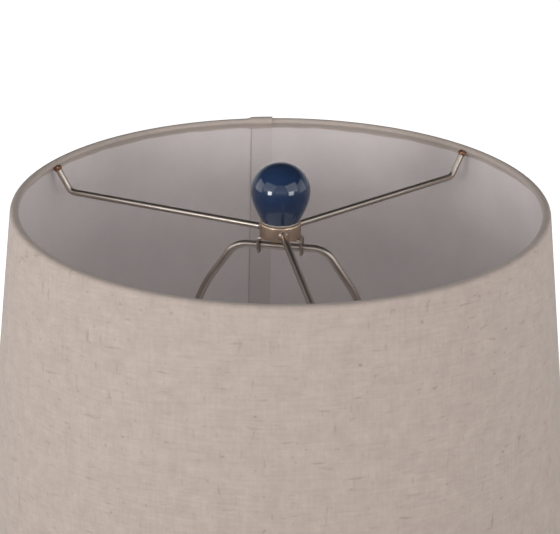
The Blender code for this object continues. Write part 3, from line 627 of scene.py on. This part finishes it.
# Shade ------------------------------------------------------------------------------
def wave(seed, counts, size):
    """A smooth random value round the shade."""
    rng = random.Random(seed)
    parts = [(n, rng.uniform(0, TURN), rng.uniform(0.5, 1.0)) for n in counts]
    total = sum(p[2] for p in parts)
    return lambda a: size * sum(w * math.sin(n * a + p) for n, p, w in parts) / total


def blend_between(x, low, high):
    """0 below low and 1 above high, smooth between."""
    t = min(max((x - low) / (high - low), 0.0), 1.0)
    return t * t * (3 - 2 * t)


def edge_path(lift, pad, hem):
    """Middle of the cloth from the wall, over a wire ring and down inside to its hem, as
    (depth behind the linen's face, distance from the shade's edge) points."""
    roll = RING_DOWN - CLOTH / 2 + lift
    near, far = RING_DOWN, RING_IN
    over, under = math.pi / 2, math.radians(-14)
    path = []
    for a in np.linspace(0, over, 8):
        path.append((near - roll * math.cos(a), near - roll * math.sin(a)))
    for a in np.linspace(over, under, 14):
        path.append((far + roll * math.cos(a), near - roll * math.sin(a)))
    flush = 2 * CLOTH + 0.00035 + pad + lift
    knee = (flush, hem - 0.0006)
    start = path[-1]
    for t in (0.2, 0.4, 0.6, 0.8, 1.0):
        ease = t * (1.3 - 0.3 * t * t)
        path.append((start[0] + (knee[0] - start[0]) * ease, start[1] + (knee[1] - start[1]) * t))
    path.append((flush, hem))
    return path


def cloth_section(angle, lift, pad, top_hem, bottom_hem):
    """One section of the linen: (radius, height, distance along the cloth) round it."""
    middle = []
    for depth, down in reversed(edge_path(lift, pad, bottom_hem)):
        middle.append((HEM_RADIUS - depth - down * LEAN, HEM_Z + down))
    wall = CLOTH / 2 - lift
    for k in range(1, WALL_STEPS):
        down = HEIGHT * (1 - k / WALL_STEPS)
        middle.append((RIM_RADIUS - wall + down * LEAN, RIM_Z - down))
    for depth, down in edge_path(lift, pad, top_hem):
        middle.append((RIM_RADIUS - depth + down * LEAN, RIM_Z - down))
    spots = np.array(middle)
    ahead = np.gradient(spots, axis=0)
    ahead /= np.linalg.norm(ahead, axis=1)[:, None]
    side = np.stack([ahead[:, 1], -ahead[:, 0]], axis=1) * CLOTH / 2
    run = np.r_[0, np.cumsum(np.linalg.norm(np.diff(spots, axis=0), axis=1))]
    wall_run = run - run[np.argmax(spots[:, 1])]
    faces = [(*p, d) for p, d in zip(spots + side, wall_run)]
    backs = [(*p, d) for p, d in zip(spots - side, wall_run)]
    return faces + backs[::-1]


def swept(name, sections, material):
    """A sheet through sections at SHEET_ANGLES, with its flat pattern as its UV map."""
    angles = list(SHEET_ANGLES)
    rings = [
        [(r * math.cos(a), r * math.sin(a), z) for r, z, _ in section]
        for section, a in zip(sections, angles)
    ]
    middle = (angles[0] + angles[-1]) / 2
    lengths = [[d for _, _, d in section] for section in sections]

    def flat(i, j):
        turn = (angles[i] - middle) * SPREAD
        reach = APEX - lengths[i][j % len(lengths[i])]
        return reach * math.sin(turn), -reach * math.cos(turn)

    return skin(name, rings, material, flat=flat, sharp=60)


def linen_sheet(m):
    """The linen in one piece: it goes over both rings, and its end laps over its start."""
    raised, ramp = 0.0011, 0.018  # lift of the upper layer at the lap, and its fading
    hem_top, hem_low = wave(3, (5, 9, 17, 31, 57), 0.0007), wave(4, (4, 11, 19, 37), 0.0007)
    pucker = wave(5, (23, 41, 67, 97), 0.00013)
    sections = []
    for angle in SHEET_ANGLES:
        gone = angle - LAP_START
        lift = raised * (1 - blend_between(gone, LAP_SWEEP, LAP_SWEEP + ramp))
        lap = gone % TURN
        # The turned-in band stands further in where it covers the lap.
        pad = CLOTH * (1 - blend_between(lap, LAP_SWEEP, LAP_SWEEP + 0.02)) + 0.0001
        pad += CLOTH * blend_between(lap, TURN - 0.03, TURN) * (gone < TURN)
        pad += abs(pucker(angle))
        top, low = HEM + hem_top(angle), HEM + hem_low(angle)
        sections.append(cloth_section(angle, lift, pad, top, low))
    linen = swept("linen_sheet", sections, m["linen"])
    return stand_in(linen, "linen_cover", "top_trim", "bottom_trim")


def lining_sheet(m):
    """The stiff lining: its end laps over its start on the inside."""
    ramp = 0.03
    edge = 0.0046  # how far the lining stops short of the rim and of the hem
    layer = CLOTH + 0.00005
    sections = []
    for angle in SHEET_ANGLES:
        depth = layer + layer * blend_between(angle - LAP_START, TURN - ramp, TURN)
        faces, backs = [], []
        for k in range(WALL_STEPS + 1):
            down = edge + (HEIGHT - 2 * edge) * k / WALL_STEPS
            radius = RIM_RADIUS + down * LEAN
            faces.append((radius - depth, RIM_Z - down, -down))
            backs.append((radius - depth - CLOTH, RIM_Z - down, -down))
        sections.append(faces + backs[::-1])
    stand_in(swept("lining_sheet", sections, m["lining"]), "shade_lining")


def shade_ring(node, edge, inward, m):
    """A wire ring at the shade's edge. Inward is 1 or -1, up or down from there."""
    height = edge + inward * RING_DOWN
    radius = RIM_RADIUS + (RIM_Z - height) * LEAN - RING_IN
    angles = np.linspace(0, TURN, 180, endpoint=False)
    path = [(radius * math.cos(a), radius * math.sin(a), height) for a in angles]
    stand_in(tube(node + "_fine", path, RING_WIRE, m["steel"], sides=12, closed=True), node)


def arm_profile():
    """(radius, height) of a spider arm's middle, from the hub to the ring."""
    start = Vector((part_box("spider_hub")[1].x - 0.0035, 0, RIM_Z - 0.0230))
    bend = Vector((0.1500, 0, RIM_Z - 0.0196))
    end = Vector((RIM_RADIUS - 0.0046 - 0.0006, 0, RIM_Z - RING_DOWN - 0.0006))
    into, out = (bend - start).normalized(), (end - bend).normalized()
    reach = 0.0060  # length of the bend on each side of its corner
    rounded = bezier(bend - into * reach, bend, bend, bend + out * reach, 14)
    straight = [start.lerp(rounded[0], k / 30) for k in range(30)]
    tail = [rounded[-1].lerp(end, k / 4) for k in range(1, 5)]
    return straight + rounded + tail


def spider(m):
    """The hub, its three arms with their joints, and the two wire rings."""
    profile = arm_profile()
    for k, angle in enumerate(ARM_ANGLES, 1):
        turn = Matrix.Rotation(angle, 4, "Z")
        path = [turn @ p for p in profile]
        arm = tube(f"arm_{k}", path, ARM_WIRE, m["wire"], sides=24)
        stand_in(arm, f"spider_arm_{k}")
        brazed(f"arm_joint_{k}", path[-1], path[-1] - path[-2], k, m)
        collar(f"arm_collar_{k}", path[0].lerp(path[1], 0.78), path[1] - path[0], m)
    returned("spider_hub", m["hub"], 0.0005, bend=28)
    shade_ring("top_ring", RIM_Z, -1, m)
    shade_ring("bottom_ring", HEM_Z, 1, m)


def squared(along):
    """That direction and two more, each square to the others and of length 1."""
    along = along.normalized()
    side = along.orthogonal().normalized()
    return along, side, along.cross(side)


def brazed(name, tip, along, seed, m):
    """The lumpy brazed end of an arm, where it goes through the linen to the ring."""
    rng = random.Random(seed)
    along, side, other = squared(along)
    waves = [(rng.uniform(0, TURN), rng.randint(2, 5)) for _ in range(3)]
    length, steps, sides = 0.0034, 8, 20
    rings = []
    for k in range(steps + 1):
        t = k / steps
        swell = 0.00055 * math.sin(math.pi * t) ** 0.7 + 0.00004
        ring = []
        for j in range(sides):
            a = TURN * j / sides
            lump = sum(math.sin(n * a + p + 3 * t) for p, n in waves) / 3
            r = ARM_WIRE + swell * (1 + 0.55 * lump)
            outward = (side * math.cos(a) + other * math.sin(a)) * r
            ring.append(tip - along * length * (1 - t) + outward)
        rings.append(ring)
    extra(skin(name, rings, m["braze"]), "shade")


def collar(name, spot, along, m):
    """The small fillet of solder round an arm at the hub."""
    along, side, other = squared(along)
    angles = [TURN * j / 24 for j in range(24)]
    profile = (  # distance along the arm, and radius
        (-0.0008, 0.0031), (0.0, 0.0030), (0.0004, 0.0026), (0.0008, 0.00222), (0.0012, 0.00212),
    )
    rings = []
    for s, r in profile:
        middle = spot + along * s
        rings.append([middle + (side * math.cos(a) + other * math.sin(a)) * r for a in angles])
    extra(skin(name, rings, m["nickel"]), "shade")


# Harp and finial --------------------------------------------------------------------
LEG_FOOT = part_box("harp_bow")[0].z
WIRE_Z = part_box("harp_bow")[1].z - HARP_WIRE
LEG_X = (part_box("ferrule_right")[0].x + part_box("ferrule_right")[1].x) / 2
HALF_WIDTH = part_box("harp_bow")[1].x - HARP_WIRE


def harp_half():
    """The middle of the harp's right half, from its foot to the middle of its top."""
    belly = WIRE_Z - 0.112  # height of the widest place
    bend, lean = 0.0145, math.radians(55.5)  # radius and turn of the shoulder's bend
    corner = 0.0287  # where its two straight sides would meet
    tangent = bend * math.tan(lean / 2)
    down = Vector((math.cos(lean), -math.sin(lean)))
    shoulder = Vector((corner, WIRE_Z)) + down * tangent
    neck = shoulder + down * 0.021
    leg = (LEG_X, LEG_FOOT + 0.02), (LEG_X, LEG_FOOT + 0.05)
    spread = bezier(*leg, (HALF_WIDTH, belly - 0.04), (HALF_WIDTH, belly), 40)
    side = bezier((HALF_WIDTH, belly), (HALF_WIDTH, belly + 0.032), neck + down * 0.018, neck, 26)
    elbow = arc((corner - tangent, WIRE_Z - bend), bend, 90 - math.degrees(lean), 90, 14)
    straight = [Vector((LEG_X, LEG_FOOT + 0.02 * k / 6)) for k in range(6)]
    return straight + spread + side[1:] + elbow


def harp(m):
    """The harp's wire, with a ferrule on each leg."""
    half = harp_half()
    top = [Vector((half[-1].x * (1 - k / 4), WIRE_Z)) for k in range(1, 4)]
    right = half + top
    loop = right + [Vector((0, WIRE_Z))] + [Vector((-p.x, p.y)) for p in reversed(right)]
    path = [Vector((p.x, 0, p.y)) for p in loop]
    stand_in(tube("harp_wire", path, HARP_WIRE, m["wire"], sides=24), "harp_bow")
    for side in ("left", "right"):
        low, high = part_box("ferrule_" + side)
        centre = ((low.x + high.x) / 2, 0, 0)
        outer = (high.x - low.x) / 2
        bore = HARP_WIRE + 0.0004
        lip = outer + 0.0005
        outline = [
            (bore, low.z), (lip, low.z), (lip, low.z + 0.0010), (outer, low.z + 0.0018),
            (outer, high.z - 0.0012), (outer - 0.0004, high.z), (bore, high.z),
        ]
        node = "ferrule_" + side
        stand_in(turned(node + "_fine", outline, 0.0003, m["nickel"], 48, centre), node)


def band(name, path, widths, thick, material, round_by=0.0004):
    """Bent sheet metal along (x, z) points, widths being along Y, with rounded edges."""
    path = [Vector(p) for p in path]
    rings = []
    for k, here in enumerate(path):
        before, after = path[max(k - 1, 0)], path[min(k + 1, len(path) - 1)]
        into = (here - before).normalized() if k else (after - here).normalized()
        out = (after - here).normalized() if k < len(path) - 1 else into
        along = (into + out).normalized()
        side = Vector((-along.y, along.x)) * (thick / 2 / max(along.dot(into), 0.5))
        shrink = 1 - round_by / (thick / 2)
        wide = widths[k] / 2
        corners = []
        for s, w in ((1, -1), (1, 1), (-1, 1), (-1, -1)):
            a = (s * shrink, w * wide) if s == w else (s, w * (wide - round_by))
            b = (s, w * (wide - round_by)) if s == w else (s * shrink, w * wide)
            out_s, out_w = s * (1 - shrink) * 0.2, w * round_by * 0.2
            mid = ((a[0] + b[0]) / 2 + out_s, (a[1] + b[1]) / 2 + out_w)
            corners += [a, mid, b]
        rings.append([(here.x + side.x * s, y, here.y + side.y * s) for s, y in corners])
    return skin(name, rings, material, sharp=35)


def drilled(obj, *holes):
    """Cuts round holes, given as (start, end, radius), through a piece."""
    for start, end, radius in holes:
        start, end = Vector(start), Vector(end)
        depth = (end - start).length
        place = Matrix.Translation((start + end) / 2)
        place = place @ (end - start).to_track_quat("Z", "Y").to_matrix().to_4x4()
        bm = bmesh.new()
        bmesh.ops.create_cone(
            bm, cap_ends=True, segments=48, radius1=radius, radius2=radius, depth=depth
        )
        bmesh.ops.transform(bm, verts=bm.verts, matrix=place)
        mesh = bpy.data.meshes.new("cutter")
        bm.to_mesh(mesh)
        bm.free()
        cutter = bpy.data.objects.new("cutter", mesh)
        bpy.context.scene.collection.objects.link(cutter)
        modifier = obj.modifiers.new("hole", "BOOLEAN")
        modifier.operation = "DIFFERENCE"
        modifier.solver = "EXACT"
        modifier.object = cutter
        scene_graph = bpy.context.evaluated_depsgraph_get()
        done = bpy.data.meshes.new_from_object(obj.evaluated_get(scene_graph))
        obj.modifiers.clear()
        obj.data = done
        bpy.data.objects.remove(cutter)
    obj.data.shade_smooth()
    obj.data.set_sharp_from_angle(angle=math.radians(35))
    return obj


def swivel(m):
    """The saddle on top of the harp, with its riveted stud."""
    low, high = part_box("swivel_saddle")
    ear_x, bend, wide = high.x - SADDLE_SHEET / 2, 0.0022, high.y - low.y
    plate = high.z - SADDLE_SHEET / 2
    turn = arc((ear_x - bend, plate - bend), bend, 90, 0, 8)
    right = [(p.x, p.y) for p in turn]
    right += [(ear_x, low.z + up) for up in (0.0042, 0.0030, 0.0016, 0.0006, 0.0)]
    spans = [wide] * (len(turn) + 1) + [wide * 0.96, wide * 0.82, wide * 0.60, wide * 0.42]
    left = [(-x, z) for x, z in reversed(right)]
    saddle = band("swivel_plate", left + right, spans[::-1] + spans, SADDLE_SHEET, m["nickel"])
    drilled(
        saddle,
        ((-0.02, 0, WIRE_Z), (0.02, 0, WIRE_Z), HARP_WIRE + 0.00025),
        ((0, 0, plate - 0.003), (0, 0, plate + 0.003), 0.0034),
    )
    stand_in(saddle, "swivel_saddle")
    low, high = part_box("finial_stud")
    head = high.z - 0.0158 - 0.0015 - 0.0003  # top of the stud's flange, under the plate
    ends = head + 0.0018, high.z - 0.0009
    thread = threaded("stud_thread", 0.0031, 0.00035, 0.00094, ends, m["brass"])
    stand_in(thread, "finial_stud")
    flange, shank = 0.0046, 0.0029
    outline = [
        (0, low.z), (0.0034, low.z), (0.0044, low.z + 0.0006), (flange, low.z + 0.0012),
        (flange, head), (shank, head), (shank, high.z - 0.0002), (0.0024, high.z), (0, high.z),
    ]
    extra(turned("stud_core", outline, 0.0002, m["brass"], 48), "stud")


def threaded(name, radius, depth, pitch, ends, material, sharpness=1.0, around=64):
    """A screw thread of that outer radius between two heights: rings that follow a helix."""
    low, high = ends
    per_turn = 12
    rows = int((high - low) / pitch * per_turn)
    rings = []
    for k in range(rows + 1):
        z = low + (high - low) * k / rows
        fade = min(1.0, k / per_turn, (rows - k) / per_turn)
        ring = []
        for j in range(around):
            phase = (z / pitch - j / around) % 1.0
            ridge = (1 - abs(2 * phase - 1)) ** sharpness
            r = radius - depth + depth * ridge * fade
            a = TURN * j / around
            ring.append((r * math.cos(a), r * math.sin(a), z))
        rings.append(ring)
    return skin(name, rings, material, sharp=50)


def finial(m):
    """The glazed finial with its brass bush."""
    returned("finial_knob", m["finial_glaze"], 0.0006, steps=144, bend=35)
    returned("finial_bush", m["brass"], 0.0002, steps=64)


# Foot, body and neck ----------------------------------------------------------------
def lower_parts(m):
    """The body with its foot, neck and washers. Returns the felt pad."""
    returned("ceramic_body", m["glaze"], 0.0012, steps=192)
    shell = returned("foot_shell", m["nickel"], 0.0004, steps=192)
    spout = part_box("lead_grommet")
    middle = (spout[0] + spout[1]) / 2
    reach, hole = 0.006, 0.0041
    drilled(shell, ((0, middle.y - reach, middle.z), (0, middle.y + reach, middle.z), hole))
    for node, ease in (("vase_cap", 0.0003), ("neck_spacer", 0.0003), ("check_ring", 0.0004)):
        returned(node, m["nickel"], ease)
    returned("cork_ring", m["cork"], 0.0004)
    returned("neck_gasket", m["rubber"], 0.0002)
    returned("lead_grommet", m["rubber"], 0.0003, steps=64, about=(0, 0, middle.z), facing="Y")
    return returned("felt_pad", m["felt"], 0.0006, steps=144)


def socket_parts(m):
    """The socket's metal case, its switch knob, and the saddle that holds the harp."""
    returned("socket_cap", m["nickel"], 0.0002)
    shell = returned("socket_shell", m["nickel"], 0.0002, steps=144)
    knob_z = (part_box("switch_knob")[0].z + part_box("switch_knob")[1].z) / 2
    drilled(shell, ((0, -0.024, knob_z), (0, -0.004, knob_z), 0.0030))
    switch_knob(knob_z, m)
    low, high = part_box("harp_saddle")
    plate, leg = low.z + SADDLE_SHEET / 2, high.x - SADDLE_SHEET / 2
    wide, tongue, bend = high.y - low.y, 0.0036, 0.0050
    turn = arc((leg - bend, plate + bend), bend, -90, 0, 10)
    right = [(p.x, p.y) for p in turn]
    right += [(leg, plate + up) for up in (0.0100, 0.0110, 0.0117, 0.0123)]
    right += [(leg, high.z - 0.0008), (leg, high.z)]
    spans = [wide] * (len(turn) + 1) + [wide * 0.93, wide * 0.68, tongue, tongue, tongue * 0.6]
    left = [(-x, z) for x, z in reversed(right)]
    saddle = band("saddle_plate", left + right, spans[::-1] + spans, SADDLE_SHEET, m["nickel"])
    drilled(saddle, ((0, 0, plate - 0.003), (0, 0, plate + 0.003), 0.0053))
    stand_in(saddle, "harp_saddle")


def switch_knob(knob_z, m):
    """The ribbed turning knob."""
    outline = outline_of("switch_knob", (0, 0, knob_z), "-Y")
    smooth = eased(outline, 0.0003, closed=False)
    ribs = 18
    steps = ribs * 8
    rings = []
    for k in range(steps):
        angle = TURN * k / steps
        groove = 0.00035 * max(0.0, math.cos(ribs * angle))
        ring = []
        for p in smooth:
            grip = blend_between(p.y, 0.0232, 0.0240) * (1 - blend_between(p.y, 0.0318, 0.0326))
            r = p.x - groove * grip * (p.x > 0.0042)
            ring.append((r * math.cos(angle), r * math.sin(angle), p.y))
        rings.append(ring)
    loop = outline[0][0] > ON_AXIS
    knob = skin("switch_knob_fine", rings, m["rubber"], loop=loop, closed=True, sharp=50)
    knob.data.transform(Matrix.Translation((0, 0, knob_z)) @ Matrix.Rotation(math.pi / 2, 4, "X"))
    stand_in(knob, "switch_knob")


def bulb(m):
    """The bulb, its cap being a thread with a foot below it and a rim above."""
    returned("bulb_glass", m["opal"], 0.0004, steps=128)
    low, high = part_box("bulb_cap")
    metal = m["aluminium"]
    ends = low.z + 0.0032, high.z - 0.0030
    thread = threaded("bulb_cap_thread", 0.0130, 0.0007, 0.0036, ends, metal, 0.8, 96)
    stand_in(thread, "bulb_cap")
    foot = [
        (0.0090, low.z), (0.0100, low.z + 0.0001), (0.0122, low.z + 0.0034),
        (0.0119, low.z + 0.0038), (0.0112, low.z + 0.0032), (0.0088, low.z + 0.0007),
    ]
    rim = [
        (0.0121, high.z - 0.0036), (0.0128, high.z - 0.0030), (0.0129, high.z),
        (0.0125, high.z), (0.0120, high.z - 0.0030),
    ]
    for name, outline in (("bulb_cap_foot", foot), ("bulb_cap_rim", rim)):
        extra(turned(name, outline, 0.0002, metal), "bulb")
    returned("bulb_tip", m["brass"], 0.0003, steps=64)
    returned("bulb_insulator", m["phenolic"], 0.0003, steps=64)


CARRIED = {
    "base_weight": "iron",
    "rod_washer": "steel",
    "rod_nut": "steel",
    "centring_bush": "rubber",
    "threaded_rod": "steel",
    "saddle_nut": "steel",
    "socket_liner": "card",
    "socket_core": "phenolic",
    "terminal_line": "brass",
    "terminal_neutral": "brass",
    "screw_shell": "brass",
    "centre_contact": "brass",
    "switch_spindle": "brass",
}


def carried_over(m):
    """CAD nodes that show as they are, in their real materials."""
    for node, name in CARRIED.items():
        mesh = frame["nodes"][node].data
        mesh.materials.clear()
        mesh.materials.append(m[name])


# Room -------------------------------------------------------------------------------
# Name, bearing from the camera's, elevation, distance, size and power.
SOFTBOXES = (
    ("key_left", -42, 6.6, 0.95, (0.25, 0.24), 3.4),
    ("key_right", 41, 7.2, 1.0, (0.34, 0.26), 2.0),
    ("panel_left", -50, 26, 1.6, (1.3, 1.0), 5.4),
    ("panel_right", 50, 26, 1.6, (1.3, 1.0), 7.2),
    ("panel_front", 0, 26, 1.6, (1.3, 1.0), 3.0),
    ("side_left", -95, 12, 2.0, (1.3, 1.3), 9.0),
    ("side_right", 95, 12, 2.0, (1.3, 1.3), 5.0),
)
FLOOR_HALF = 14  # half of the floor's width


def softbox(name, azimuth, elevation, distance, size, power, aim):
    """A rectangular lamp at a bearing from -Y towards +X, turned to the aim point."""
    data = bpy.data.lights.new(name, "AREA")
    data.shape = "RECTANGLE"
    data.size, data.size_y = size
    data.energy = power
    lamp = bpy.data.objects.new(name, data)
    bpy.context.scene.collection.objects.link(lamp)
    a, e = math.radians(azimuth), math.radians(elevation)
    towards = Vector((math.sin(a) * math.cos(e), -math.cos(a) * math.cos(e), math.sin(e)))
    offset = towards * distance
    lamp.location = aim + offset
    lamp.rotation_euler = offset.to_track_quat("Z", "Y").to_euler()


def pale_floor():
    """A pale floor that glows white well behind the lamp, and further off all round it."""
    g = Graph("pale_floor")
    spot = g.noise(g.place(), (6, 6, 6), (0, 0, 1), detail=3)
    g.set(Base_Color=g.mix(spot, rgb(0.78, 0.78, 0.78), rgb(0.82, 0.82, 0.82)), Roughness=0.9)
    behind = Matrix.Rotation(math.radians(VIEW), 3, "Z") @ Vector((0, 1, 0))
    depth = g.measure("DOT_PRODUCT", g.place(), behind)
    reach = g.measure("LENGTH", g.place())
    lit = g.math("MAXIMUM", g.smooth_step(depth, 0.15, 0.95), g.smooth_step(reach, 1.2, 3.0))
    g.set(Emission_Color=rgb(1, 1, 1), Emission_Strength=lit)
    bm = bmesh.new()
    bmesh.ops.create_grid(bm, x_segments=1, y_segments=1, size=FLOOR_HALF)
    mesh = bpy.data.meshes.new("floor")
    bm.to_mesh(mesh)
    bm.free()
    floor = add_object("floor", mesh, g.material)


def sky():
    """A world that is brighter near the horizon than overhead."""
    world = bpy.data.worlds.new("studio")
    world.use_nodes = True
    tree = world.node_tree
    axes = tree.nodes.new("ShaderNodeSeparateXYZ")
    tree.links.new(tree.nodes.new("ShaderNodeTexCoord").outputs["Generated"], axes.inputs[0])
    fade = tree.nodes.new("ShaderNodeMapRange")
    fade.interpolation_type = "SMOOTHSTEP"
    for key, value in (("From Min", 0.16), ("From Max", 0.50), ("To Min", 0.50), ("To Max", 0.045)):
        fade.inputs[key].default_value = value
    tree.links.new(axes.outputs[2], fade.inputs["Value"])
    light = tree.nodes["Background"]
    light.inputs["Color"].default_value = (0.96, 0.98, 1.0, 1.0)
    tree.links.new(fade.outputs["Result"], light.inputs["Strength"])
    bpy.context.scene.world = world


def room():
    """The floor, the sky and soft studio light."""
    pale_floor()
    sky()
    aim = Vector((0, 0, RIM_Z - 0.02))
    for name, bearing, *rest in SOFTBOXES:
        softbox(name, VIEW + bearing, *rest, aim)
    bpy.context.scene.view_settings.view_transform = "Standard"


def main():
    place_camera()
    m = make_materials()
    linen = linen_sheet(m)
    lining_sheet(m)
    spider(m)
    harp(m)
    swivel(m)
    finial(m)
    felt = lower_parts(m)
    socket_parts(m)
    bulb(m)
    carried_over(m)
    room()


main()
